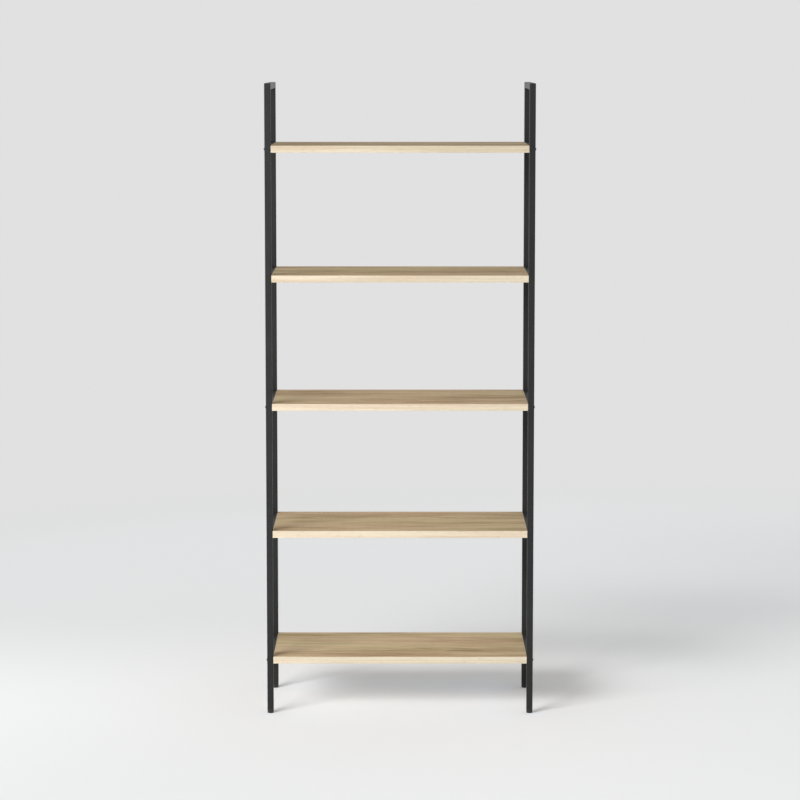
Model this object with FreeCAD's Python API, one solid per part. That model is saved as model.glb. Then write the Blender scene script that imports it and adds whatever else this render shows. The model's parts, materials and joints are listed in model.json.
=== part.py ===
import FreeCAD, Part
import math
import os

# Ladder bookcase: two welded side frames of square tube, five wooden shelves held between them,
# and a levelling foot under each leg.
# Millimetres. The origin is on the floor at the middle of the footprint, +X to the right, +Z up,
# and the front faces -Y. The left frame is at -X.

# Shelves: edge-banded boards whose ends butt against the side frames, flush with the legs front and back
SHELF_NAMES = ("bottom", "lower", "middle", "upper", "top")
BOLTED_SHELVES = ("bottom", "middle", "top")
SHELF_LENGTH = 738.0
SHELF_DEPTH = 356.0
SHELF_THICKNESS = 20.0
SHELF_PITCH = 371.0
LOWEST_SHELF_TOP = 168.0
BAND_THICKNESS = 1.0
BAND_ARRIS = 0.5

# Side frames
TUBE_SIDE = 18.0
TUBE_WALL = 1.2
TUBE_CORNER = 2.0
TUBE_INNER_CORNER = 0.8
FRAME_ABOVE_TOP_SHELF = 177.0
MITRE_OVERCUT = 5.0
WELD_LEG = 2.5
WELD_CROWN = 0.4

# Button-head bolts through the legs into the ends of the bolted shelves
BOLT_DIAMETER = 6.0
BOLT_REACH = 40.0
BOLT_TIP_CHAMFER = 0.8
HEAD_OVERHANG = 1.5
HEAD_HEIGHT = 2.0
HEAD_EDGE = 0.4
HEAD_CROWN_FLAT = 5.2
HEAD_BULGE = 0.35
SOCKET_ACROSS_FLATS = 4.0
SOCKET_DEPTH = 1.8
LEG_HOLE_CLEARANCE = 0.3
SHELF_HOLE_CLEARANCE = 0.5
BOLT_HOLE_OVERRUN = 3.0

# Barrel nuts dropped into the underside of the bolted shelves
NUT_WALL = 2.0
NUT_SETBACK = 30.0
NUT_COVER = 4.0
NUT_RECESS = 2.0
NUT_CLEARANCE = 0.1
NUT_THREAD_CLEARANCE = 0.05
NUT_SLOT_WIDTH = 1.5
NUT_SLOT_DEPTH = 1.5

# Steel pins in the rungs, which carry the shelves that have no bolts
PIN_DIAMETER = 8.0
PIN_REACH = 22.0
PIN_INSET = 70.0
PIN_TIP_CHAMFER = 1.0
PIN_CLEARANCE = 0.05
PIN_HOLE_CLEARANCE = 0.1
PIN_HOLE_OVERRUN = 2.0

# Feet: a plug in the end of the leg, a threaded bush in the plug and a levelling foot on a stud
PLUG_FLANGE = 3.0
PLUG_DEPTH = 26.0
PLUG_CLEARANCE = 0.1
PLUG_STUD_CLEARANCE = 0.4
BUSH_WALL = 2.5
BUSH_LENGTH = 14.0
BUSH_CLEARANCE = 0.05
STUD_DIAMETER = 6.0
STUD_LENGTH = 32.0
STUD_TIP_CHAMFER = 0.8
STUD_CLEARANCE = 0.05
STUD_SEAT_DEPTH = 6.0
STUD_SEAT_CLEARANCE = 0.03
FOOT_DIAMETER = 18.0
FOOT_HEIGHT = 9.0
FOOT_BOTTOM_ROUND = 2.0
FOOT_TOP_CHAMFER = 0.6

# Places that follow from the sizes above
SIDES = {"left": -1, "right": 1}
ENDS = {"front": -1, "back": 1}
INNER_FACE = SHELF_LENGTH / 2
OUTER_FACE = INNER_FACE + TUBE_SIDE
TUBE_X = INNER_FACE + TUBE_SIDE / 2
HALF_DEPTH = SHELF_DEPTH / 2
LEG_Y = HALF_DEPTH - TUBE_SIDE / 2
RUNG_END = HALF_DEPTH - TUBE_SIDE
PIN_Y = RUNG_END - PIN_INSET
LEG_BOTTOM = FOOT_HEIGHT + PLUG_FLANGE
SHELF_TOPS = {name: LOWEST_SHELF_TOP + step * SHELF_PITCH for step, name in enumerate(SHELF_NAMES)}
SHELF_MIDDLES = {name: top - SHELF_THICKNESS / 2 for name, top in SHELF_TOPS.items()}
FRAME_HEIGHT = max(SHELF_TOPS.values()) + FRAME_ABOVE_TOP_SHELF
PINNED_SHELVES = tuple(name for name in SHELF_NAMES if name not in BOLTED_SHELVES)
NUT_DIAMETER = BOLT_DIAMETER + 2 * NUT_WALL
BUSH_DIAMETER = STUD_DIAMETER + 2 * BUSH_WALL

Vector = FreeCAD.Vector
ALONG_X = Vector(1, 0, 0)
ALONG_Y = Vector(0, 1, 0)
ALONG_Z = Vector(0, 0, 1)
AT_ORIGIN = Vector(0, 0, 0)
ANGLE_TOLERANCE = 1e-6


def block(low, high):
    """Box between two opposite corners."""
    size = [b - a for a, b in zip(low, high)]
    return Part.makeBox(*size, Vector(*low))


def rod(diameter, length, start, direction):
    """Plain round bar."""
    return Part.makeCylinder(diameter / 2, length, Vector(*start), direction)


def tipped_rod(diameter, length, chamfer, start, direction):
    """Round bar whose far end is chamfered."""
    shank = rod(diameter, length - chamfer, start, direction)
    neck = Vector(*start) + direction * (length - chamfer)
    tip = Part.makeCone(diameter / 2, diameter / 2 - chamfer, chamfer, neck, direction)
    return shank.fuse(tip).removeSplitter()


def edges_along(shape, direction):
    """The straight edges of a shape that run along a direction."""
    return [edge for edge in shape.Edges if edge.Curve.Direction.cross(direction).Length < ANGLE_TOLERANCE]


def square_bar(side, corner, length):
    """Square bar standing on the origin, its four long edges rounded."""
    bar = block((-side / 2, -side / 2, 0), (side / 2, side / 2, length))
    return bar.makeFillet(corner, edges_along(bar, ALONG_Z))


def tube(length):
    """Square tube standing on the origin."""
    bore = square_bar(TUBE_SIDE - 2 * TUBE_WALL, TUBE_INNER_CORNER, length)
    return square_bar(TUBE_SIDE, TUBE_CORNER, length).cut(bore)


def tube_along_y(length):
    """Square tube lying along Y, centred on the origin."""
    standing = tube(length).translated(Vector(0, 0, -length / 2))
    return standing.rotated(AT_ORIGIN, ALONG_X, -90)


def mitre_wedge(side, end, above):
    """Prism above or below the 45 degree plane on which a leg meets its top rail."""
    outer = end * (HALF_DEPTH + MITRE_OVERCUT)
    inner = end * (RUNG_END - MITRE_OVERCUT)
    high = FRAME_HEIGHT + MITRE_OVERCUT
    low = FRAME_HEIGHT - TUBE_SIDE - MITRE_OVERCUT
    third = (inner, high) if above else (outer, low)
    start_x = side * TUBE_X - TUBE_SIDE
    corners = [Vector(start_x, y, z) for y, z in ((outer, high), third, (inner, low))]
    return Part.Face(Part.makePolygon(corners + corners[:1])).extrude(ALONG_X * (2 * TUBE_SIDE))


def leg(side, end):
    """Upright tube, mitred at the top and drilled for the bolts."""
    upright = tube(FRAME_HEIGHT - LEG_BOTTOM)
    upright = upright.translated(Vector(side * TUBE_X, end * LEG_Y, LEG_BOTTOM))
    upright = upright.cut(mitre_wedge(side, end, above=True))
    hole_diameter = BOLT_DIAMETER + 2 * LEG_HOLE_CLEARANCE
    for name in BOLTED_SHELVES:
        start = (side * TUBE_X - TUBE_SIDE, end * LEG_Y, SHELF_MIDDLES[name])
        upright = upright.cut(rod(hole_diameter, 2 * TUBE_SIDE, start, ALONG_X))
    return upright


def top_rail(side):
    """Tube that closes a side frame at the top, mitred at both ends."""
    rail = tube_along_y(SHELF_DEPTH).translated(Vector(side * TUBE_X, 0, FRAME_HEIGHT - TUBE_SIDE / 2))
    for end in ENDS.values():
        rail = rail.cut(mitre_wedge(side, end, above=False))
    return rail


def rung(side, name):
    """Tube between the two legs of a side frame at a shelf's level, drilled where it holds pins."""
    bar = tube_along_y(2 * RUNG_END).translated(Vector(side * TUBE_X, 0, SHELF_MIDDLES[name]))
    if name in PINNED_SHELVES:
        for end in ENDS.values():
            start = (side * TUBE_X, end * PIN_Y, SHELF_MIDDLES[name])
            bar = bar.cut(rod(PIN_DIAMETER + 2 * PIN_CLEARANCE, TUBE_SIDE, start, ALONG_X * -side))
    return bar


def weld_bead(side, end, corner_z, up):
    """Convex fillet of weld in the corner between a leg and a cross tube's upper or lower face."""
    length = TUBE_SIDE - 2 * TUBE_CORNER
    start_x = side * TUBE_X - length / 2
    corner_y = end * RUNG_END
    corner = Vector(start_x, corner_y, corner_z)
    on_tube = Vector(start_x, corner_y - end * WELD_LEG, corner_z)
    on_leg = Vector(start_x, corner_y, corner_z + up * WELD_LEG)
    crown_step = WELD_LEG / 2 + WELD_CROWN * math.sqrt(0.5)
    crown = Vector(start_x, corner_y - end * crown_step, corner_z + up * crown_step)
    outline = [
        Part.makeLine(corner, on_tube),
        Part.Arc(on_tube, crown, on_leg).toShape(),
        Part.makeLine(on_leg, corner),
    ]
    return Part.Face(Part.Wire(outline)).extrude(ALONG_X * length)


def frame_welds(side):
    """All the weld beads of one side frame."""
    beads = []
    for end in ENDS.values():
        beads.append(weld_bead(side, end, FRAME_HEIGHT - TUBE_SIDE, -1))
        for middle in SHELF_MIDDLES.values():
            beads.extend(weld_bead(side, end, middle + up * TUBE_SIDE / 2, up) for up in (-1, 1))
    return beads


def bolt(side, end, name):
    """Button-head bolt with a hexagon socket, its head on the leg's outer face."""
    head_radius = BOLT_DIAMETER / 2 + HEAD_OVERHANG
    under_rim = Vector(head_radius, 0, 0)
    rim = Vector(head_radius, 0, HEAD_EDGE)
    crown_edge = Vector(HEAD_CROWN_FLAT / 2, 0, HEAD_HEIGHT)
    crown_middle = Vector(0, 0, HEAD_HEIGHT)
    outwards = (crown_edge - rim).cross(ALONG_Y).normalize()
    shoulder = (rim + crown_edge) / 2 + outwards * HEAD_BULGE
    outline = [
        Part.makeLine(AT_ORIGIN, under_rim),
        Part.makeLine(under_rim, rim),
        Part.Arc(rim, shoulder, crown_edge).toShape(),
        Part.makeLine(crown_edge, crown_middle),
        Part.makeLine(crown_middle, AT_ORIGIN),
    ]
    head = Part.Face(Part.Wire(outline)).revolve(AT_ORIGIN, ALONG_Z, 360)
    shank = tipped_rod(BOLT_DIAMETER, TUBE_SIDE + BOLT_REACH, BOLT_TIP_CHAMFER, (0, 0, 0), -ALONG_Z)
    corner_radius = SOCKET_ACROSS_FLATS / math.sqrt(3)
    crown_corner = Vector(corner_radius, 0, HEAD_HEIGHT)
    turns = [FreeCAD.Rotation(ALONG_Z, 60 * step) for step in range(7)]
    hexagon = [turn.multVec(crown_corner) for turn in turns]
    socket = Part.Face(Part.makePolygon(hexagon)).extrude(ALONG_Z * -SOCKET_DEPTH)
    whole = head.fuse(shank).cut(socket)
    turned = whole.rotated(AT_ORIGIN, ALONG_Y, 90 * side)
    return turned.translated(Vector(side * OUTER_FACE, end * LEG_Y, SHELF_MIDDLES[name]))


def nut_place(side, end, name):
    """Bottom centre of a barrel nut."""
    underside = SHELF_TOPS[name] - SHELF_THICKNESS
    return (side * (INNER_FACE - NUT_SETBACK), end * LEG_Y, underside + NUT_RECESS)


def barrel_nut(side, end, name):
    """Steel cylinder crossed by the bolt's thread, with a slot in its lower end to turn it by."""
    place = nut_place(side, end, name)
    length = SHELF_THICKNESS - NUT_RECESS - NUT_COVER
    barrel = rod(NUT_DIAMETER, length, place, ALONG_Z)
    thread_start = (place[0] - NUT_DIAMETER, place[1], SHELF_MIDDLES[name])
    thread_diameter = BOLT_DIAMETER + 2 * NUT_THREAD_CLEARANCE
    barrel = barrel.cut(rod(thread_diameter, 2 * NUT_DIAMETER, thread_start, ALONG_X))
    slot_low = (place[0] - NUT_DIAMETER, place[1] - NUT_SLOT_WIDTH / 2, place[2])
    slot_high = (place[0] + NUT_DIAMETER, place[1] + NUT_SLOT_WIDTH / 2, place[2] + NUT_SLOT_DEPTH)
    return barrel.cut(block(slot_low, slot_high))


def shelf_pin(side, end, name):
    """Steel pin that stands on the inside of a rung's outer wall and reaches into the shelf's end."""
    start = (side * (OUTER_FACE - TUBE_WALL), end * PIN_Y, SHELF_MIDDLES[name])
    length = TUBE_SIDE - TUBE_WALL + PIN_REACH
    return tipped_rod(PIN_DIAMETER, length, PIN_TIP_CHAMFER, start, ALONG_X * -side)


def shelf_bores(name):
    """Everything that is drilled into one shelf: bolt and barrel nut holes, or pin holes."""
    bores = []
    for side in SIDES.values():
        for end in ENDS.values():
            inwards = ALONG_X * -side
            if name in PINNED_SHELVES:
                mouth = (side * INNER_FACE, end * PIN_Y, SHELF_MIDDLES[name])
                diameter = PIN_DIAMETER + 2 * PIN_HOLE_CLEARANCE
                bores.append(rod(diameter, PIN_REACH + PIN_HOLE_OVERRUN, mouth, inwards))
                continue
            mouth = (side * INNER_FACE, end * LEG_Y, SHELF_MIDDLES[name])
            diameter = BOLT_DIAMETER + 2 * SHELF_HOLE_CLEARANCE
            bores.append(rod(diameter, BOLT_REACH + BOLT_HOLE_OVERRUN, mouth, inwards))
            nut_x, nut_y, nut_z = nut_place(side, end, name)
            foot = (nut_x, nut_y, nut_z - NUT_RECESS)
            diameter = NUT_DIAMETER + 2 * NUT_CLEARANCE
            bores.append(rod(diameter, SHELF_THICKNESS - NUT_COVER, foot, ALONG_Z))
    return bores


def shelf_panel(name):
    """Board inside its edge bands, with its bores."""
    half_length = INNER_FACE - BAND_THICKNESS
    half_width = HALF_DEPTH - BAND_THICKNESS
    top = SHELF_TOPS[name]
    board = block((-half_length, -half_width, top - SHELF_THICKNESS), (half_length, half_width, top))
    return board.cut(shelf_bores(name))


def long_band(end, name):
    """Edge band along the front or back of a shelf, its two outer edges eased."""
    face_y = end * HALF_DEPTH
    low_y, high_y = sorted((face_y, face_y - end * BAND_THICKNESS))
    top = SHELF_TOPS[name]
    strip = block((-INNER_FACE, low_y, top - SHELF_THICKNESS), (INNER_FACE, high_y, top))
    long_edges = edges_along(strip, ALONG_X)
    outer_edges = [edge for edge in long_edges if abs(edge.CenterOfMass.y - face_y) < BAND_THICKNESS / 2]
    return strip.makeFillet(BAND_ARRIS, outer_edges)


def end_bands(name):
    """Edge bands on the two ends of a shelf, between the front and back bands."""
    half_width = HALF_DEPTH - BAND_THICKNESS
    top = SHELF_TOPS[name]
    bands = []
    for side in SIDES.values():
        low_x, high_x = sorted((side * INNER_FACE, side * (INNER_FACE - BAND_THICKNESS)))
        strip = block((low_x, -half_width, top - SHELF_THICKNESS), (high_x, half_width, top))
        bands.append(strip.cut(shelf_bores(name)))
    return bands


def foot_plug(side, end):
    """Square plug in the leg's end: a flange under the tube, a body inside it, a seat for the bush."""
    body_side = TUBE_SIDE - 2 * TUBE_WALL - 2 * PLUG_CLEARANCE
    flange = square_bar(TUBE_SIDE, TUBE_CORNER, PLUG_FLANGE)
    body = square_bar(body_side, TUBE_INNER_CORNER, PLUG_FLANGE + PLUG_DEPTH)
    stud_way = rod(STUD_DIAMETER + 2 * PLUG_STUD_CLEARANCE, PLUG_FLANGE + PLUG_DEPTH, (0, 0, 0), ALONG_Z)
    bush_seat = rod(BUSH_DIAMETER + 2 * BUSH_CLEARANCE, BUSH_LENGTH, (0, 0, 0), ALONG_Z)
    plug = flange.fuse(body).cut([stud_way, bush_seat]).removeSplitter()
    return plug.translated(Vector(side * TUBE_X, end * LEG_Y, FOOT_HEIGHT))


def foot_bush(side, end):
    """Threaded bush, flush with the underside of the plug."""
    place = (side * TUBE_X, end * LEG_Y, FOOT_HEIGHT)
    sleeve = rod(BUSH_DIAMETER, BUSH_LENGTH, place, ALONG_Z)
    return sleeve.cut(rod(STUD_DIAMETER + 2 * STUD_CLEARANCE, BUSH_LENGTH, place, ALONG_Z))


def leveller_stud(side, end):
    """Stud that is set in the foot and screws into the bush."""
    start = (side * TUBE_X, end * LEG_Y, FOOT_HEIGHT - STUD_SEAT_DEPTH)
    return tipped_rod(STUD_DIAMETER, STUD_SEAT_DEPTH + STUD_LENGTH, STUD_TIP_CHAMFER, start, ALONG_Z)


def leveller_foot(side, end):
    """Round foot with a rounded lower edge and a chamfered upper one, moulded round the stud's end."""
    radius = FOOT_DIAMETER / 2
    pad_radius = radius - FOOT_BOTTOM_ROUND
    round_step = FOOT_BOTTOM_ROUND * (1 - math.sqrt(0.5))
    base_middle = AT_ORIGIN
    pad_edge = Vector(pad_radius, 0, 0)
    round_middle = Vector(radius - round_step, 0, round_step)
    side_low = Vector(radius, 0, FOOT_BOTTOM_ROUND)
    side_high = Vector(radius, 0, FOOT_HEIGHT - FOOT_TOP_CHAMFER)
    top_edge = Vector(radius - FOOT_TOP_CHAMFER, 0, FOOT_HEIGHT)
    top_middle = Vector(0, 0, FOOT_HEIGHT)
    outline = [
        Part.makeLine(base_middle, pad_edge),
        Part.Arc(pad_edge, round_middle, side_low).toShape(),
        Part.makeLine(side_low, side_high),
        Part.makeLine(side_high, top_edge),
        Part.makeLine(top_edge, top_middle),
        Part.makeLine(top_middle, base_middle),
    ]
    foot = Part.Face(Part.Wire(outline)).revolve(AT_ORIGIN, ALONG_Z, 360)
    seat_start = (0, 0, FOOT_HEIGHT - STUD_SEAT_DEPTH)
    foot = foot.cut(rod(STUD_DIAMETER + 2 * STUD_SEAT_CLEARANCE, STUD_SEAT_DEPTH, seat_start, ALONG_Z))
    return foot.translated(Vector(side * TUBE_X, end * LEG_Y, 0))


def save(node, *solids):
    """Write one node: a single solid, or a group of separate solids."""
    shape = solids[0] if len(solids) == 1 else Part.makeCompound(list(solids))
    shape.exportStep(f"parts/{node}.step")


def each_corner():
    """The four legs: name, side and end."""
    for side_name, side in SIDES.items():
        for end_name, end in ENDS.items():
            yield f"{side_name}_{end_name}", side, end


os.makedirs("parts", exist_ok=True)

for corner_name, side, end in each_corner():
    save(f"{corner_name}_leg", leg(side, end))
    save(f"{corner_name}_foot_plug", foot_plug(side, end))
    save(f"{corner_name}_leveller_stud", leveller_stud(side, end))
    save(f"{corner_name}_leveller_foot", leveller_foot(side, end))
save("foot_bushes", *[foot_bush(side, end) for _, side, end in each_corner()])

for side_name, side in SIDES.items():
    save(f"{side_name}_top_rail", top_rail(side))
    save(f"{side_name}_frame_welds", *frame_welds(side))
    for shelf_name in SHELF_NAMES:
        save(f"{side_name}_{shelf_name}_rung", rung(side, shelf_name))

for shelf_name in SHELF_NAMES:
    save(f"{shelf_name}_shelf_panel", shelf_panel(shelf_name))
    save(f"{shelf_name}_shelf_end_bands", *end_bands(shelf_name))
    for end_name, end in ENDS.items():
        save(f"{shelf_name}_shelf_{end_name}_band", long_band(end, shelf_name))

bolt_places = [(side, end, name) for name in BOLTED_SHELVES for _, side, end in each_corner()]
pin_places = [(side, end, name) for name in PINNED_SHELVES for _, side, end in each_corner()]
save("leg_bolts", *[bolt(*place) for place in bolt_places])
save("barrel_nuts", *[barrel_nut(*place) for place in bolt_places])
save("shelf_pins", *[shelf_pin(*place) for place in pin_places])
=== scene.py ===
import json
import math
from typing import NamedTuple

import bpy
import numpy as np
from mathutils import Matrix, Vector

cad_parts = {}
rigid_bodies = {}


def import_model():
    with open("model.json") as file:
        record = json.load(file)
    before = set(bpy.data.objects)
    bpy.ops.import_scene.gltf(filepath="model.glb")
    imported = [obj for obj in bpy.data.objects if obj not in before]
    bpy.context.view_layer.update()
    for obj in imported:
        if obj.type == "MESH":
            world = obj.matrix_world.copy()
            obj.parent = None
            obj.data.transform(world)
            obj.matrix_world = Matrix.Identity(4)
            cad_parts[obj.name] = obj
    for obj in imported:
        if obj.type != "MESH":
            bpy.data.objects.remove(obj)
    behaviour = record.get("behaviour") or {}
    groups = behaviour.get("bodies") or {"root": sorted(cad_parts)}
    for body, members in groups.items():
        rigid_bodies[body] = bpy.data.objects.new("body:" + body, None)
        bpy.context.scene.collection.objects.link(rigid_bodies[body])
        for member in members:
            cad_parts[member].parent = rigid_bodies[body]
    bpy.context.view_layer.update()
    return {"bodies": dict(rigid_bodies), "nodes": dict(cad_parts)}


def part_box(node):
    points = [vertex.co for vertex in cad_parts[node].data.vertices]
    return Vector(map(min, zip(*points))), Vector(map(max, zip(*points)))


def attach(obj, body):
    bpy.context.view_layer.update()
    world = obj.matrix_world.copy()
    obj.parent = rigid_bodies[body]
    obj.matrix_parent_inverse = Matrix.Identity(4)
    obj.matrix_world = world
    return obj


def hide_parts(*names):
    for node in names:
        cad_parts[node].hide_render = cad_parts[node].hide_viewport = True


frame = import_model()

SIDES = {"left": -1, "right": 1}
ENDS = {"front": -1, "back": 1}
CORNERS = [f"{side_name}_{end_name}" for side_name in SIDES for end_name in ENDS]

# Places that the frame gives
board_low, board_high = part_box("bottom_shelf_panel")
next_board_low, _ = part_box("lower_shelf_panel")
leg_low, leg_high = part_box("right_back_leg")
rail_low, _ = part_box("right_top_rail")
rung_low, rung_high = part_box("right_bottom_rung")
SHELF_COUNT = sum(node_name.endswith("_shelf_panel") for node_name in frame["nodes"])
SHELF_UNDERSIDE = board_low.z
SHELF_THICKNESS = board_high.z - board_low.z
SHELF_PITCH = next_board_low.z - board_low.z
BOARD_END = board_high.x
BOARD_BACK = board_high.y
TUBE_SIDE = leg_high.x - leg_low.x
TUBE_X = (leg_low.x + leg_high.x) / 2
LEG_Y = (leg_low.y + leg_high.y) / 2
LEG_INNER_Y = leg_low.y
FRONT_Y = -leg_high.y
RUNG_MIDDLE = (rung_low.z + rung_high.z) / 2
RAIL_UNDERSIDE = rail_low.z


class Grain(NamedTuple):
    """A noise in a finish: its swells to one unit of each of the three values that place it, a seed that
    sets it apart from the finish's other noises, its detail and its roughness."""

    swells: tuple
    seed: float = 0.0
    detail: float = 2.0
    roughness: float = 0.5


class Shade:
    """A socket that takes part in Python arithmetic; each operator adds one Math node to its tree."""

    def __init__(self, nodes, socket):
        self.nodes = nodes
        self.socket = socket

    def __add__(self, other):
        return self.nodes.maths("ADD", self, other)

    def __radd__(self, other):
        return self.nodes.maths("ADD", other, self)

    def __sub__(self, other):
        return self.nodes.maths("SUBTRACT", self, other)

    def __rsub__(self, other):
        return self.nodes.maths("SUBTRACT", other, self)

    def __mul__(self, other):
        return self.nodes.maths("MULTIPLY", self, other)

    def __rmul__(self, other):
        return self.nodes.maths("MULTIPLY", other, self)

    def __truediv__(self, other):
        return self.nodes.maths("DIVIDE", self, other)

    def __rtruediv__(self, other):
        return self.nodes.maths("DIVIDE", other, self)

    def __abs__(self):
        return self.nodes.maths("ABSOLUTE", self)


class Nodes:
    """The node tree of a finish or of the studio's soft light."""

    def __init__(self, tree):
        self.tree = tree
        tree.nodes.clear()

    def node(self, kind, settings, sockets, output=0):
        """Add a node: its settings first, then a value or a link for each socket. Returns one output."""
        made = self.tree.nodes.new("ShaderNode" + kind)
        for name, setting in settings.items():
            setattr(made, name, setting)
        for name, value in sockets.items():
            socket = made.inputs[name]
            if isinstance(value, Shade):
                self.tree.links.new(value.socket, socket)
            elif socket.type == "RGBA":
                socket.default_value = (*value, 1.0)
            else:
                socket.default_value = value
        return Shade(self, made.outputs[output]) if made.outputs else None

    def maths(self, operation, *values):
        """One operation on values."""
        return self.node("Math", {"operation": operation}, dict(enumerate(values)))

    def ramp(self, limits, value):
        """0 below the first limit, 1 above the second and a smooth rise between them."""
        sockets = {"Value": value, "From Min": limits[0], "From Max": limits[1]}
        return self.node("MapRange", {"interpolation_type": "SMOOTHSTEP"}, sockets)

    def mix(self, share, first, second, blend="MIX"):
        """A colour between two colours, or their product."""
        settings = {"data_type": "RGBA", "blend_type": blend}
        return self.node("Mix", settings, {0: share, 6: first, 7: second}, output=2)

    def place(self):
        """The point on the piece, as three values."""
        point = self.node("TexCoord", {}, {}, output="Object")
        return [self.node("SeparateXYZ", {}, {0: point}, output=axis) for axis in "XYZ"]

    def noise(self, grain, *point):
        """Smooth noise about 0.5 at a point of three values."""
        values = self.node("CombineXYZ", {}, dict(enumerate(point)))
        terms = {0: values, 1: grain.swells, 2: (0, 0, grain.seed)}
        place = self.node("VectorMath", {"operation": "MULTIPLY_ADD"}, terms)
        sockets = {"Vector": place, "Scale": 1.0, "Detail": grain.detail, "Roughness": grain.roughness}
        return self.node("TexNoise", {"noise_dimensions": "3D"}, sockets)

    def swing(self, grain, *point):
        """Smooth noise about 0 at a point of three values."""
        return self.noise(grain, *point) - 0.5

    def chance(self, number):
        """Three values from 0 to 1 that differ from one number to the next."""
        colour = self.node("TexWhiteNoise", {"noise_dimensions": "1D"}, {"W": number}, output="Color")
        return [self.node("SeparateColor", {}, {0: colour}, output=channel) for channel in range(3)]

    def surface(self, colour, roughness, height, relief, constants):
        """Close the tree with a shader whose normal follows a height map of the given relief."""
        bump = self.node("Bump", {}, {"Height": height, "Distance": relief, "Strength": 1.0})
        sockets = {"Base Color": colour, "Roughness": roughness, "Normal": bump, **constants}
        shader = self.node("BsdfPrincipled", {}, sockets)
        self.node("OutputMaterial", {}, {"Surface": shader})


def new_finish(name):
    """An empty material and its nodes."""
    material = bpy.data.materials.new(name)
    material.use_nodes = True
    return material, Nodes(material.node_tree)


# Finishes of the wood

PORE_BROWN = (0.22, 0.14, 0.08)
FIBRE_ROUGHNESS = 0.12
FIBRE_HEIGHT = 0.5
SHELF_MARGIN = 0.1


def shelf_number(nodes, z):
    """0 for the bottom shelf, 1 for the next, and so on; a margin keeps undersides with their shelf."""
    return nodes.maths("FLOOR", (z - SHELF_UNDERSIDE) / SHELF_PITCH + SHELF_MARGIN)


# Shelf veneer: colours of the wood, and the tints that it leans to
VENEER_PALE = (0.70, 0.56, 0.37)
VENEER_TAN = (0.57, 0.44, 0.27)
VENEER_BROWN = (0.40, 0.285, 0.16)
VENEER_OLIVE = (0.97, 1.00, 0.91)
VENEER_ROSE = (1.03, 0.97, 0.97)

# Its leaves: where along the log each is cut, and how the heart of the log lies from it
LEAF_SEED = 25.5
LEAF_STEP = 13.7
LOG_LENGTH = 7.0
HEART_ASIDE = 0.2
HEART_SWAY = 0.06
HEART_DEPTH = 0.02
HEART_DEPTH_RANGE = 0.02
HEART_SLOPE = 0.07
HEART_DRIFT = 0.05
SWAY = Grain((2.3, 4, LEAF_STEP))
DRIFT = Grain((1.7, LEAF_STEP, 1), seed=8.5)

# Its growth rings: their width, how many rings they wander by, and where the dark late wood is in a ring
RING_WIDTH = 0.008
YEARS_WANDER = 1.6
RAGGED_WANDER = 0.7
LATE_WOOD_RISE = (0.3, 0.9)
LATE_WOOD_FALL = (0.9, 1.0)
GOOD_YEARS = Grain((45, LEAF_STEP, 1), seed=3.5)
RAGGEDNESS = Grain((6, 60, LEAF_STEP), detail=3.0)

# Its figure: swells along the grain, across it and from leaf to leaf
VENEER_BROAD = Grain((1.6, 10, LEAF_STEP), seed=2.0)
VENEER_STREAK = Grain((2.6, 48, LEAF_STEP), seed=4.0, detail=4.0, roughness=0.55)
VENEER_DASH = Grain((8, 65, LEAF_STEP), seed=7.0)
VENEER_FIBRE = Grain((16, 850, LEAF_STEP), seed=6.0, detail=3.0, roughness=0.6)
VENEER_PORE = Grain((42, 1150, LEAF_STEP), seed=9.0, detail=1.0)
VENEER_CAST = Grain((0.8, 5, LEAF_STEP), seed=11.0)

# Its tone, from pale to brown, and how far each mark moves it
VENEER_TONE = 0.28
VENEER_BROAD_TONE = 2.8
VENEER_STREAK_TONE = 1.6
VENEER_DASH_TONE = 1.5
VENEER_FIBRE_TONE = 0.35
LATE_WOOD_TONE = 0.4
VENEER_TAN_TONES = (0.0, 0.6)
VENEER_BROWN_TONES = (0.5, 1.15)
VENEER_CAST_LIMITS = (0.35, 0.65)

# Its pores and its lacquer
VENEER_PORE_LIMITS = (0.60, 0.70)
PORES_CLOSED = 0.65
VENEER_PORE_STAIN = 0.45
VENEER_PORE_ROUGHNESS = 0.18
VENEER_ROUGHNESS = 0.64
VENEER_RELIEF = 0.00012
VENEER_GLOSS = {"Specular IOR Level": 0.08}


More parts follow.
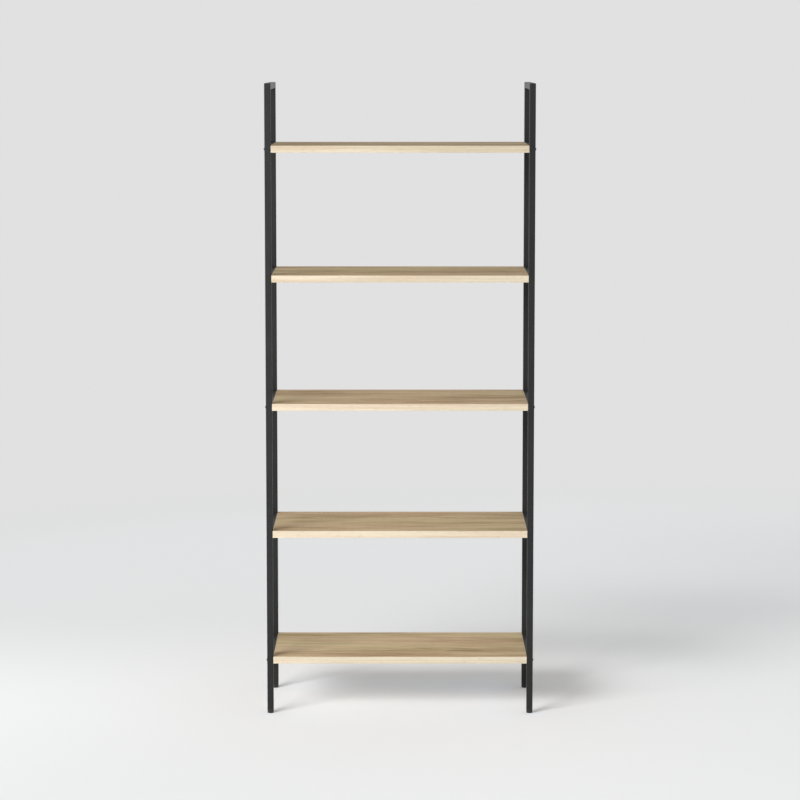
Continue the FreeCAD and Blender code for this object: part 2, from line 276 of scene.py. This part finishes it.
def shelf_veneer():
    """Flat-sliced veneer, a leaf to each face of each shelf.

    A growth ring is a shell round the heart of the log, so its trace on the leaf is the distance
    sqrt(across^2 + depth^2), and the heart's depth drifts along the grain, which draws the long arches.
    Streaks, fibres and pores are noises drawn out along the grain. Late wood closes most of the pores.
    """
    material, nodes = new_finish("shelf_veneer_lacquered")
    x, y, z = nodes.place()
    shelf = shelf_number(nodes, z)
    on_shelf = z - SHELF_UNDERSIDE - shelf * SHELF_PITCH
    leaf = shelf * 2 + nodes.maths("GREATER_THAN", on_shelf, SHELF_THICKNESS / 2)
    along_log, aside, deeper = nodes.chance(leaf + LEAF_SEED)
    along = x + along_log * LOG_LENGTH
    sway = nodes.swing(SWAY, along, y, leaf)
    across = y + (aside - 0.5) * HEART_ASIDE + sway * HEART_SWAY

    drift = nodes.swing(DRIFT, along, leaf, 0.0)
    depth = HEART_DEPTH + deeper * HEART_DEPTH_RANGE + x * HEART_SLOPE + drift * HEART_DRIFT
    from_heart = nodes.maths("SQRT", across * across + depth * depth)
    good_years = nodes.swing(GOOD_YEARS, from_heart, leaf, 0.0)
    raggedness = nodes.swing(RAGGEDNESS, along, across, leaf)
    rings = from_heart / RING_WIDTH + good_years * YEARS_WANDER + raggedness * RAGGED_WANDER
    in_ring = nodes.maths("FRACT", rings)
    late_wood = nodes.ramp(LATE_WOOD_RISE, in_ring) * (1 - nodes.ramp(LATE_WOOD_FALL, in_ring))

    broad = nodes.swing(VENEER_BROAD, along, across, leaf)
    streak = nodes.swing(VENEER_STREAK, along, across, leaf)
    dash = nodes.swing(VENEER_DASH, along, across, leaf)
    fibre = nodes.swing(VENEER_FIBRE, along, across, leaf)
    tone = VENEER_TONE + broad * VENEER_BROAD_TONE + streak * VENEER_STREAK_TONE + dash * VENEER_DASH_TONE
    tone = tone + late_wood * LATE_WOOD_TONE + fibre * VENEER_FIBRE_TONE
    pale_to_tan = nodes.mix(nodes.ramp(VENEER_TAN_TONES, tone), VENEER_PALE, VENEER_TAN)
    wood = nodes.mix(nodes.ramp(VENEER_BROWN_TONES, tone), pale_to_tan, VENEER_BROWN)
    cast = nodes.ramp(VENEER_CAST_LIMITS, nodes.noise(VENEER_CAST, along, across, leaf))
    wood = nodes.mix(1.0, wood, nodes.mix(cast, VENEER_OLIVE, VENEER_ROSE), blend="MULTIPLY")
    pores = nodes.ramp(VENEER_PORE_LIMITS, nodes.noise(VENEER_PORE, along, across, leaf))
    pores = pores * (1 - late_wood * PORES_CLOSED)
    wood = nodes.mix(pores * VENEER_PORE_STAIN, wood, PORE_BROWN)

    roughness = VENEER_ROUGHNESS + fibre * FIBRE_ROUGHNESS + pores * VENEER_PORE_ROUGHNESS
    nodes.surface(wood, roughness, fibre * FIBRE_HEIGHT - pores, VENEER_RELIEF, VENEER_GLOSS)
    return material


# Edge bands: colours of the wood, partly painted light, the tints that it leans to, and the glue
# The pale and the tan are partly the band's own colour and partly painted light, lighter than the veneer's
# for the brighter light on the shelves' front edges
BAND_PALE_WITH_PAINTED_LIGHT = (0.76, 0.68, 0.53)
BAND_TAN_WITH_PAINTED_LIGHT = (0.645, 0.54, 0.40)
BAND_CREAM = (0.99, 1.00, 0.97)
BAND_ROSE = (1.02, 0.97, 0.95)
GLUE_BROWN = (0.26, 0.18, 0.11)

# Their figure: swells along the strip, up it, and from shelf to shelf or through the strip
BAND_SEED = 95.5
STRIP_LENGTH = 5.0
BAND_BROAD = Grain((1.6, 40, 5.3))
BAND_STREAK = Grain((3.0, 160, 7.1), detail=3.0, roughness=0.6)
BAND_CAST = Grain((1.2, 12, 3.9))
BAND_FIBRE = Grain((18, 900, 900), detail=3.0, roughness=0.6)
BAND_PORE = Grain((45, 1200, 900), seed=4.0, detail=1.0)

# Their tone, from pale to tan, and how far each mark moves it
BAND_TONE = 0.48
BAND_BROAD_TONE = 1.8
BAND_STREAK_TONE = 1.7
BAND_FIBRE_TONE = 0.3
BAND_TAN_TONES = (0.1, 0.95)
BAND_CAST_LIMITS = (0.38, 0.62)

# Their pores, their lacquer, and how far out from the board's edge the glue line is whole and ends
BAND_PORE_LIMITS = (0.62, 0.72)
BAND_PORE_STAIN = 0.3
BAND_PORE_ROUGHNESS = 0.15
BAND_ROUGHNESS = 0.50
BAND_RELIEF = 0.0001
BAND_GLOSS = {"Specular IOR Level": 0.3}
GLUE_WHOLE = 0.00005
GLUE_END = 0.0002
GLUE_STAIN = 0.7


def edge_band(name, grain_along_x):
    """Veneer edge band: streaks and fibres along the strip, and the glue line where it meets the board."""
    material, nodes = new_finish(name)
    x, y, z = nodes.place()
    shelf = shelf_number(nodes, z)
    along_strip, up_strip, _ = nodes.chance(shelf + BAND_SEED)
    length, depth, board_edge = (x, y, BOARD_BACK) if grain_along_x else (y, x, BOARD_END)
    along = length + along_strip * STRIP_LENGTH + depth
    across = z + up_strip

    broad = nodes.swing(BAND_BROAD, along, across, shelf)
    streak = nodes.swing(BAND_STREAK, along, across, shelf)
    fibre = nodes.swing(BAND_FIBRE, along, across, depth)
    tone = BAND_TONE + broad * BAND_BROAD_TONE + streak * BAND_STREAK_TONE + fibre * BAND_FIBRE_TONE
    # Partly painted light: the band's pale and tan are lighter than the veneer's for the brighter light on
    # the front edges
    wood = nodes.mix(nodes.ramp(BAND_TAN_TONES, tone), BAND_PALE_WITH_PAINTED_LIGHT, BAND_TAN_WITH_PAINTED_LIGHT)
    cast = nodes.ramp(BAND_CAST_LIMITS, nodes.noise(BAND_CAST, along, across, shelf))
    wood = nodes.mix(1.0, wood, nodes.mix(cast, BAND_CREAM, BAND_ROSE), blend="MULTIPLY")
    pores = nodes.ramp(BAND_PORE_LIMITS, nodes.noise(BAND_PORE, along, across, depth))
    wood = nodes.mix(pores * BAND_PORE_STAIN, wood, PORE_BROWN)
    glue = 1 - nodes.ramp((board_edge + GLUE_WHOLE, board_edge + GLUE_END), abs(depth))
    wood = nodes.mix(glue * GLUE_STAIN, wood, GLUE_BROWN)

    roughness = BAND_ROUGHNESS + fibre * FIBRE_ROUGHNESS + pores * BAND_PORE_ROUGHNESS
    nodes.surface(wood, roughness, fibre * FIBRE_HEIGHT - pores - glue, BAND_RELIEF, BAND_GLOSS)
    return material


# Finishes of the metal and plastic

# Powder coat
COAT_BLACK = (0.0120, 0.0121, 0.0124)
COAT_WORN = (0.027, 0.027, 0.027)
COAT_PEEL = Grain((1100, 1100, 1100), roughness=0.55)
COAT_CLOUD = Grain((14, 14, 14), detail=3.0)
COAT_RUB = Grain((25, 25, 25), detail=3.0)
RUB_LINE = (TUBE_SIDE * 0.43, TUBE_SIDE * 0.49)
RUB_LIMITS = (0.42, 0.66)
RUB_WEAR = 0.7
CLOUD_LIMITS = (-0.2, 0.3)
CLOUD_WEAR = 0.25
COAT_ROUGHNESS = 0.44
CLOUD_ROUGHNESS = 0.10
PEEL_ROUGHNESS = 0.10
RUB_POLISH = 0.08
COAT_RELIEF = 0.00006
COAT_GLOSS = {"Specular IOR Level": 0.32}


def powder_coat():
    """Satin black powder coat: an orange-peel skin, cloudy gloss, and a rubbed, slightly paler line on the
    rounded corners of the tubes.

    A point's distances from the tube's middle line are taken along X and, on a leg, along Y, or on a rung
    along Z from the nearest rung's height. The lesser of the two is large only on a corner.
    """
    material, nodes = new_finish("powder_coat_satin_black")
    x, y, z = nodes.place()
    from_x = abs(abs(x) - TUBE_X)
    from_y = abs(abs(y) - LEG_Y)
    storey = nodes.maths("FRACT", (z - RUNG_MIDDLE) / SHELF_PITCH + 0.5)
    from_z = abs(storey - 0.5) * SHELF_PITCH
    on_leg = nodes.maths("GREATER_THAN", abs(y), LEG_INNER_Y)
    from_other = from_y * on_leg + from_z * (1 - on_leg)
    corner = nodes.ramp(RUB_LINE, nodes.maths("MINIMUM", from_x, from_other))

    peel = nodes.swing(COAT_PEEL, x, y, z)
    cloud = nodes.swing(COAT_CLOUD, x, y, z)
    rub = corner * nodes.ramp(RUB_LIMITS, nodes.noise(COAT_RUB, x, y, z))
    colour = nodes.mix(rub * RUB_WEAR, COAT_BLACK, COAT_WORN)
    colour = nodes.mix(nodes.ramp(CLOUD_LIMITS, cloud) * CLOUD_WEAR, colour, COAT_WORN)
    roughness = COAT_ROUGHNESS + cloud * CLOUD_ROUGHNESS + peel * PEEL_ROUGHNESS - rub * RUB_POLISH
    nodes.surface(colour, roughness, peel, COAT_RELIEF, COAT_GLOSS)
    return material


# Nylon
NYLON_BLACK = (0.020, 0.020, 0.021)
NYLON_SCUFFED = (0.055, 0.055, 0.056)
NYLON_TEXTURE = Grain((2600, 2600, 2600), detail=1.0)
NYLON_SCUFF = Grain((300, 300, 900), detail=3.0)
SCUFF_HEIGHTS = (0.0, 0.006)
SCUFF_LIMITS = (0.42, 0.6)
NYLON_ROUGHNESS = 0.52
TEXTURE_ROUGHNESS = 0.2
NYLON_RELIEF = 0.00003
NYLON_GLOSS = {"Specular IOR Level": 0.4}


def nylon():
    """Black moulded nylon: spark-eroded texture, and scuffs towards the floor."""
    material, nodes = new_finish("nylon_moulded_black")
    x, y, z = nodes.place()
    texture = nodes.swing(NYLON_TEXTURE, x, y, z)
    scuff = nodes.noise(NYLON_SCUFF, x, y, z) * (1 - nodes.ramp(SCUFF_HEIGHTS, z))
    colour = nodes.mix(nodes.ramp(SCUFF_LIMITS, scuff), NYLON_BLACK, NYLON_SCUFFED)
    roughness = NYLON_ROUGHNESS + texture * TEXTURE_ROUGHNESS
    nodes.surface(colour, roughness, texture, NYLON_RELIEF, NYLON_GLOSS)
    return material


# Black oxide
OXIDE_BLACK = (0.018, 0.018, 0.020)
OXIDE_BLUED = (0.036, 0.037, 0.040)
OXIDE_PATCH = Grain((500, 500, 500), detail=3.0)
OXIDE_TURNED = Grain((6000, 1500, 1500), detail=1.0)
PATCH_LIMITS = (0.35, 0.7)
OXIDE_ROUGHNESS = 0.34
PATCH_ROUGHNESS = 0.08
TURNED_ROUGHNESS = 0.1
OXIDE_RELIEF = 0.00001
OXIDE_METAL = {"Metallic": 0.35}


def black_oxide():
    """Black-oxide steel: an oily dark film, blued in patches, over a fine turned texture."""
    material, nodes = new_finish("steel_black_oxide")
    x, y, z = nodes.place()
    patch = nodes.ramp(PATCH_LIMITS, nodes.noise(OXIDE_PATCH, x, y, z))
    turned = nodes.swing(OXIDE_TURNED, x, y, z)
    colour = nodes.mix(patch, OXIDE_BLACK, OXIDE_BLUED)
    roughness = OXIDE_ROUGHNESS + patch * PATCH_ROUGHNESS + turned * TURNED_ROUGHNESS
    nodes.surface(colour, roughness, turned, OXIDE_RELIEF, OXIDE_METAL)
    return material


# Zinc
ZINC_BRIGHT = (0.60, 0.61, 0.62)
ZINC_DULL = (0.42, 0.43, 0.45)
ZINC_SPANGLE = Grain((700, 700, 700))
ZINC_MARKS = Grain((4000, 4000, 400))
SPANGLE_LIMITS = (0.3, 0.7)
ZINC_ROUGHNESS = 0.36
MARKS_ROUGHNESS = 0.2
SPANGLE_POLISH = 0.06
ZINC_RELIEF = 0.000008
ZINC_METAL = {"Metallic": 1.0}


def zinc():
    """Zinc-plated steel: a dull blue-white spangle with faint drawing marks along the grain."""
    material, nodes = new_finish("steel_zinc_plated")
    x, y, z = nodes.place()
    spangle = nodes.ramp(SPANGLE_LIMITS, nodes.noise(ZINC_SPANGLE, x, y, z))
    marks = nodes.swing(ZINC_MARKS, x, y, z)
    colour = nodes.mix(spangle, ZINC_DULL, ZINC_BRIGHT)
    roughness = ZINC_ROUGHNESS + marks * MARKS_ROUGHNESS - spangle * SPANGLE_POLISH
    nodes.surface(colour, roughness, marks, ZINC_RELIEF, ZINC_METAL)
    return material


# Pieces worked out as surfaces

SHARP_EDGE = math.radians(35)


def closed_lofts(rings):
    """Vertices and faces of closed tubes. rings[tube, ring, point] are loops that run anticlockwise, seen
    from the end that the ring number grows to. Quads join neighbouring loops, and a fan of triangles
    closes each end loop on its own middle."""
    tubes, count, around, _ = rings.shape
    ends = rings[:, [0, -1]].mean(axis=2)
    vertices = np.concatenate([rings.reshape(tubes, count * around, 3), ends], axis=1)
    base = np.arange(tubes)[:, None, None] * (count * around + 2)
    ring = np.arange(count - 1)[None, :, None] * around
    point = np.arange(around)[None, None, :]
    after = (point + 1) % around
    corners = (ring + point, ring + after, ring + around + after, ring + around + point)
    quads = np.stack([base + corner for corner in corners], axis=-1).reshape(-1, 4)
    last = (count - 1) * around
    middle = count * around
    start_fan = (base + middle, base + after, base + point)
    end_fan = (base + middle + 1, base + last + point, base + last + after)
    fans = [np.stack(np.broadcast_arrays(*fan), axis=-1) for fan in (start_fan, end_fan)]
    triangles = np.concatenate(fans).reshape(-1, 3)
    return vertices.reshape(-1, 3), quads.tolist() + triangles.tolist()


def add_mesh(name, vertices, faces, material):
    """A mesh object at the origin, its place in its vertices, smooth but for its sharp edges."""
    mesh = bpy.data.meshes.new(name)
    mesh.from_pydata(vertices.tolist(), [], faces)
    mesh.shade_smooth()
    mesh.set_sharp_from_angle(angle=SHARP_EDGE)
    mesh.materials.append(material)
    piece = bpy.data.objects.new(name, mesh)
    bpy.context.scene.collection.objects.link(piece)
    return piece


# Weld beads; a bulge at 45 degrees goes by the same share along the tube and up the leg
WELD_LENGTH = 0.014
WELD_LEG = 0.0025
WELD_CROWN = 0.0005
WELD_RIPPLE = 0.0011
WELD_RIPPLE_BEND = 0.8
WELD_RIPPLE_DEPTH = 0.6
WELD_END_POWER = 8
WELD_RINGS = 80
WELD_ARC_POINTS = 10
BULGE_SHARE = math.sqrt(0.5)


def weld_corners():
    """The corners that beads fill in one side frame: y, z, and the ways to the tube and up the leg."""
    corners = []
    for end in ENDS.values():
        corners.append((end * LEG_INNER_Y, RAIL_UNDERSIDE, -end, -1))
        for step in range(SHELF_COUNT):
            middle = RUNG_MIDDLE + step * SHELF_PITCH
            corners.extend((end * LEG_INNER_Y, middle + up * TUBE_SIDE / 2, -end, up) for up in (-1, 1))
    return np.array(corners)


def weld_beads(side_name, side, material):
    """Weld beads of one side frame.

    Across a bead, the section is the corner itself and a line from the tube to the leg that bulges by the
    crown times 4s(1 - s), where s is the share of the way. Along it, the crown rises and falls as
    |sin(pi * ripples)|, and the ripples lag in the bead's middle, so that each is a crescent. The size of
    the section follows a superellipse, which closes the ends.
    """
    corner_y, corner_z, to_tube, up = weld_corners().T[:, :, None, None]
    along = np.linspace(-1, 1, WELD_RINGS)[None, :, None]
    share = np.linspace(0, 1, WELD_ARC_POINTS)[None, None, :]
    share = np.where(to_tube * up > 0, share, 1 - share)
    hump = 4 * share * (1 - share)
    ripples = along * WELD_LENGTH / 2 / WELD_RIPPLE - WELD_RIPPLE_BEND * hump
    rise = np.abs(np.sin(np.pi * ripples))
    crown = WELD_CROWN * hump * (1 - WELD_RIPPLE_DEPTH + WELD_RIPPLE_DEPTH * rise)
    size = np.sqrt(np.maximum(1 - along ** WELD_END_POWER, 0))
    bulge = size * crown * BULGE_SHARE
    out_along_tube = size * WELD_LEG * (1 - share) + bulge
    out_along_leg = size * WELD_LEG * share + bulge
    corner_point = np.zeros_like(out_along_tube[:, :, :1])
    out_along_tube = np.concatenate([corner_point, out_along_tube], axis=2)
    out_along_leg = np.concatenate([corner_point, out_along_leg], axis=2)
    rings = np.stack([
        np.broadcast_to(side * TUBE_X + along * WELD_LENGTH / 2, out_along_tube.shape),
        corner_y + to_tube * out_along_tube,
        corner_z + up * out_along_leg,
    ], axis=-1)
    vertices, faces = closed_lofts(rings)
    beads = add_mesh(f"{side_name}_weld_beads", vertices, faces, material)
    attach(beads, "bookcase")
    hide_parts(f"{side_name}_frame_welds")


# Levelling studs
THREAD_PITCH = 0.001
THREAD_DEPTH = 0.00055
THREAD_RUNOUT = 0.001
THREAD_CREST = 0.08
THREAD_ROOT = 0.88
STUD_TIP_RADIUS = 0.0022
STUD_RINGS = 480
STUD_POINTS = 48


def threaded_stud(corner_name, material):
    """Levelling stud with a rolled thread.

    The radius at a height and angle is the full radius less a V groove that climbs one pitch to a turn,
    flat near its crest and its root, which are given as shares of the way from crest to root. The groove
    runs out above the foot, and a cone at the tip caps the radius.
    """
    low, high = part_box(f"{corner_name}_leveller_stud")
    _, foot_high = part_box(f"{corner_name}_leveller_foot")
    radius = (high.x - low.x) / 2
    middle = (low + high) / 2
    height = np.linspace(low.z, high.z, STUD_RINGS)[None, :, None]
    angle = np.linspace(0, 2 * np.pi, STUD_POINTS, endpoint=False)[None, None, :]
    turn = (height - foot_high.z) / THREAD_PITCH - angle / (2 * np.pi)
    from_crest = 1 - np.abs(2 * (turn % 1) - 1)
    groove = np.clip((from_crest - THREAD_CREST) / (THREAD_ROOT - THREAD_CREST), 0, 1)
    cut = np.clip((height - foot_high.z) / THREAD_RUNOUT, 0, 1)
    thread_radius = radius - THREAD_DEPTH * groove * cut
    around = np.minimum(thread_radius, STUD_TIP_RADIUS + (high.z - height))
    rings = np.stack([
        middle.x + around * np.cos(angle),
        middle.y + around * np.sin(angle),
        np.broadcast_to(height, around.shape),
    ], axis=-1)
    vertices, faces = closed_lofts(rings)
    stud = add_mesh(f"{corner_name}_threaded_stud", vertices, faces, material)
    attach(stud, f"{corner_name}_foot")
    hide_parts(f"{corner_name}_leveller_stud")


# Studio

# Soft light from all round; a level floor gets this share of it from the ramp's zenith end, which is twice
# the integral of the ramp's rise 3u^2 - 2u^3 times u
BACKDROP = (0.752, 0.752, 0.752)
AMBIENT_HORIZON = 0.75
AMBIENT_ZENITH = 0.18
ZENITH_SHARE = 2 * (3 / 4 - 2 / 5)
AMBIENT_ON_FLOOR = (1 - ZENITH_SHARE) * AMBIENT_HORIZON + ZENITH_SHARE * AMBIENT_ZENITH

# Key light; its blur and reach allow for the softbox's size where the floor's light is worked out
KEY_AZIMUTH = math.radians(37)
KEY_DISTANCE = 4.5
KEY_HEIGHT = 2.45
KEY_WAY = Vector((-math.sin(KEY_AZIMUTH), -math.cos(KEY_AZIMUTH), 0))
KEY_PLACE = KEY_WAY * KEY_DISTANCE + Vector((0, 0, KEY_HEIGHT))
KEY_TARGET = Vector((0, 0, 0.25))
KEY_AIM = (KEY_TARGET - KEY_PLACE).normalized()
KEY_WIDTH = 2.5
KEY_TALL = 1.6
KEY_SPREAD = math.radians(76)
KEY_GRID = math.tan(KEY_SPREAD / 2)
KEY_POWER = 38.5
KEY_BLUR = 0.005
KEY_REACH = 1.24
KEY_AHEAD_LEAST = 0.1

# Floor: its disc, its tone from front to back and to the right, its painted glow, faint in the open and
# stronger below the shelves, and the circle round the shadow past which it turns into the backdrop
FLOOR_RADIUS = 60.0
FLOOR_RINGS = 24
FLOOR_POINTS = 96
FLOOR_PALE = 0.90
FLOOR_TONE_FRONT = 0.86
FLOOR_TONE_LEAN = 0.045
FLOOR_TONE_BACK = 0.75
FLOOR_TONE_Y = (-0.3, 1.4)
FLOOR_PAINTED_GLOW = (0.08, 0.087, 0.094)
FLOOR_PAINTED_GLOW_BELOW = (0.138, 0.18, 0.234)
BELOW_X = (0.25, 0.45)
BELOW_Y = (0.0, 0.51)
EVENED_MOST = 1.6
SHADOW_X = 0.7
SHADOW_Y = 0.6
SHADOW_RADII = (2.6, 4.0)

# Camera, placed as the photograph's was: height and distance follow from how the shelves foreshorten
CAMERA_BACK = 8.24
CAMERA_HEIGHT = 1.918
CAMERA_TILT = math.radians(6.895)
CAMERA_LENS = 129.6
CAMERA_SENSOR = 36.0


def shown_rays(nodes):
    """1 for what the camera sees, directly, mirrored or through glass, and 0 for light on its way."""
    kinds = ("Is Camera Ray", "Is Glossy Ray", "Is Transmission Ray")
    seen, mirrored, passed = [nodes.node("LightPath", {}, {}, output=kind) for kind in kinds]
    return nodes.maths("MAXIMUM", nodes.maths("MAXIMUM", seen, mirrored), passed)


def key_on_floor(nodes, x, y):
    """The key's light on the open floor: how far ahead of the softbox a point lies, times the softbox's
    height, times how open its grid is at that angle, over the fourth power of the distance."""
    key_x = x - KEY_PLACE.x
    key_y = y - KEY_PLACE.y
    squared = key_x * key_x + key_y * key_y + KEY_HEIGHT ** 2
    ahead = key_x * KEY_AIM.x + key_y * KEY_AIM.y - KEY_HEIGHT * KEY_AIM.z
    ahead = nodes.maths("MAXIMUM", ahead, KEY_AHEAD_LEAST)
    off_axis = nodes.maths("SQRT", squared / (ahead * ahead) - 1 + KEY_BLUR)
    opening = nodes.maths("MAXIMUM", KEY_GRID - off_axis, 0.0) / (KEY_GRID - KEY_SPREAD / 2)
    spread_out = (squared + KEY_REACH) * (squared + KEY_REACH)
    return KEY_POWER * KEY_HEIGHT / math.pi ** 2 * opening * ahead / spread_out


def floor_finish():
    """Pale floor that takes the bookcase's shadow near by and is the backdrop far off.

    Its shown colour is the wanted tone, less a painted glow, over the light that the open floor gets
    there, so that only shadows change the tone. The glow is painted light: its red is its level, and it
    lightens the shadows, most of all below the shelves, where its greater green and blue also cancel the
    warm light that the wood throws on the floor.
    """
    material, nodes = new_finish("studio_floor")
    x, y, _ = nodes.place()
    shown = shown_rays(nodes)
    front_tone = FLOOR_TONE_FRONT - FLOOR_TONE_LEAN * x
    tone = front_tone + (FLOOR_TONE_BACK - front_tone) * nodes.ramp(FLOOR_TONE_Y, y)
    below = (1 - nodes.ramp(BELOW_X, abs(x))) * (1 - nodes.ramp(BELOW_Y, abs(y)))
    # Painted light: a glow seen by the camera that lightens the floor's shadows, most of all below the
    # shelves
    painted_glow_level = FLOOR_PAINTED_GLOW[0] + (FLOOR_PAINTED_GLOW_BELOW[0] - FLOOR_PAINTED_GLOW[0]) * below
    open_light = key_on_floor(nodes, x, y) + AMBIENT_ON_FLOOR
    evened = nodes.maths("MINIMUM", (tone - painted_glow_level) / open_light, EVENED_MOST)
    lit = nodes.node("BsdfDiffuse", {}, {"Color": FLOOR_PALE + (evened - FLOOR_PALE) * shown})
    # The painted glow itself, cooler below the shelves
    painted_glow = nodes.mix(shown, (0, 0, 0), nodes.mix(below, FLOOR_PAINTED_GLOW, FLOOR_PAINTED_GLOW_BELOW))
    near = nodes.node("AddShader", {}, {0: lit, 1: nodes.node("Emission", {}, {"Color": painted_glow})})
    far = nodes.node("Emission", {}, {"Color": BACKDROP})
    shadow_x = x - SHADOW_X
    shadow_y = y - SHADOW_Y
    distance = nodes.maths("SQRT", shadow_x * shadow_x + shadow_y * shadow_y)
    shader = nodes.node("MixShader", {}, {0: nodes.ramp(SHADOW_RADII, distance), 1: near, 2: far})
    nodes.node("OutputMaterial", {}, {"Surface": shader})
    return material


def studio_floor():
    """Flat disc whose rings lie at the cubes of even steps, and which stays below the lowest foot."""
    radius = FLOOR_RADIUS * np.linspace(0, 1, FLOOR_RINGS + 1)[1:, None] ** 3
    angle = np.linspace(0, 2 * np.pi, FLOOR_POINTS, endpoint=False)[None, :]
    rings = np.stack([radius * np.cos(angle), radius * np.sin(angle), 0 * radius * angle], axis=-1)
    vertices = np.concatenate([np.zeros((1, 3)), rings.reshape(-1, 3)])
    point = np.arange(FLOOR_POINTS)
    after = (point + 1) % FLOOR_POINTS
    fan = np.stack([0 * point, 1 + point, 1 + after], axis=-1)
    ring = 1 + np.arange(FLOOR_RINGS - 1)[:, None] * FLOOR_POINTS
    outer = ring + FLOOR_POINTS
    quads = np.stack([ring + point, outer + point, outer + after, ring + after], axis=-1).reshape(-1, 4)
    floor = add_mesh("floor", vertices, fan.tolist() + quads.tolist(), floor_finish())
    for corner_name in CORNERS:
        below_foot = floor.constraints.new("FLOOR")
        below_foot.target = frame["bodies"][f"{corner_name}_foot"]
        below_foot.floor_location = "FLOOR_NEGATIVE_Z"


def studio_world():
    """Soft light, dimmer from above; the camera and reflections see the backdrop's grey."""
    world = bpy.data.worlds.new("studio")
    world.use_nodes = True
    nodes = Nodes(world.node_tree)
    direction = nodes.node("TexCoord", {}, {}, output="Generated")
    upward = nodes.node("SeparateXYZ", {}, {0: direction}, output="Z")
    brightness = AMBIENT_HORIZON + (AMBIENT_ZENITH - AMBIENT_HORIZON) * nodes.ramp((0.0, 1.0), upward)
    light = nodes.node("Background", {}, {"Color": brightness})
    backdrop = nodes.node("Background", {}, {"Color": BACKDROP})
    shader = nodes.node("MixShader", {}, {0: shown_rays(nodes), 1: light, 2: backdrop})
    nodes.node("OutputWorld", {}, {"Surface": shader})
    bpy.context.scene.world = world


def key_light():
    """Wide softbox with a grid, in front and to the left."""
    lamp = bpy.data.lights.new("key_softbox", "AREA")
    lamp.shape = "RECTANGLE"
    lamp.size = KEY_WIDTH
    lamp.size_y = KEY_TALL
    lamp.spread = KEY_SPREAD
    lamp.energy = KEY_POWER
    softbox = bpy.data.objects.new("key_softbox", lamp)
    softbox.location = KEY_PLACE
    softbox.rotation_euler = KEY_AIM.to_track_quat("-Z", "Y").to_euler()
    softbox.visible_camera = False
    bpy.context.scene.collection.objects.link(softbox)


def photo_camera():
    """Camera in front of the bookcase, looking slightly down on it."""
    camera = bpy.data.cameras.new("camera")
    camera.lens = CAMERA_LENS
    camera.sensor_width = CAMERA_SENSOR
    holder = bpy.data.objects.new("camera", camera)
    holder.location = (0, FRONT_Y - CAMERA_BACK, CAMERA_HEIGHT)
    holder.rotation_euler = (math.pi / 2 - CAMERA_TILT, 0, 0)
    bpy.context.scene.collection.objects.link(holder)
    bpy.context.scene.camera = holder


# The finish of each material slot, and the bookcase put together
coat = powder_coat()
zinc_plate = zinc()
finishes = {
    "black_powder_coat": coat,
    "wood_board": shelf_veneer(),
    "wood_edge_band": edge_band("edge_band_long", grain_along_x=True),
    "black_oxide_steel": black_oxide(),
    "zinc_steel": zinc_plate,
    "black_nylon": nylon(),
}
end_band = edge_band("edge_band_end", grain_along_x=False)
for node_name, node in frame["nodes"].items():
    for material_slot in node.material_slots:
        finish = finishes[material_slot.material.name]
        material_slot.material = end_band if node_name.endswith("_end_bands") else finish

for side_name, side in SIDES.items():
    weld_beads(side_name, side, coat)
for corner_name in CORNERS:
    threaded_stud(corner_name, zinc_plate)

studio_floor()
studio_world()
key_light()
photo_camera()
bpy.context.scene.view_settings.view_transform = "Standard"
